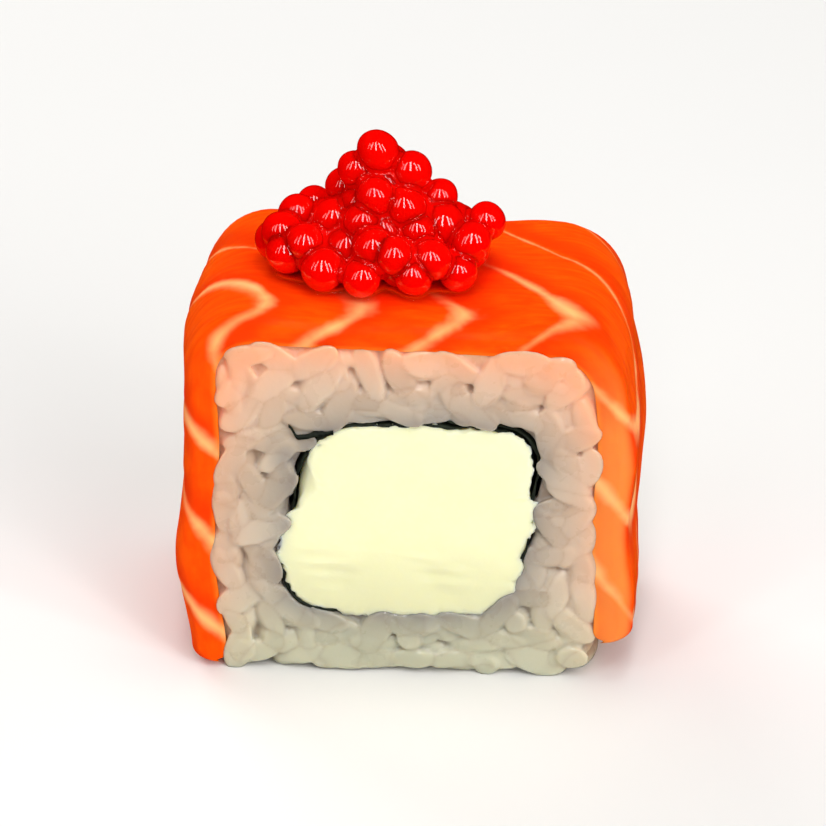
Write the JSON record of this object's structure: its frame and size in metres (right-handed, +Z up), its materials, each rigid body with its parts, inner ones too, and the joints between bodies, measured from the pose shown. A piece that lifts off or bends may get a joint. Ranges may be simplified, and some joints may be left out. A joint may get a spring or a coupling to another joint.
{
  "type": "salmon and cream cheese sushi roll piece",
  "caption": "Squarish inside-out sushi roll piece: rice pressed round nori and cream cheese, a salmon slice draped over top and sides, and a peaked heap of red roe. Eaten in a bite or two.",
  "frame": {"origin": "middle of the foot, in the plane that the rice rests on", "axes": "+Z up through the roe, Y along the roll from cut to cut with the shown cut facing -Y, X across it"},
  "size_m": [0.0442, 0.024, 0.0511],
  "materials": {
    "rice": "moist, slightly translucent",
    "nori": "damp, nearly black",
    "cream_cheese": "soft, cut smooth",
    "salmon": "wet, with pale fat lines",
    "roe": "glossy and translucent"
  },
  "bodies": {
    "root": {"rice": "rice", "nori": "nori", "cream_cheese": "cream_cheese", "salmon": "salmon", "roe": "roe"}
  },
  "joints": []
}
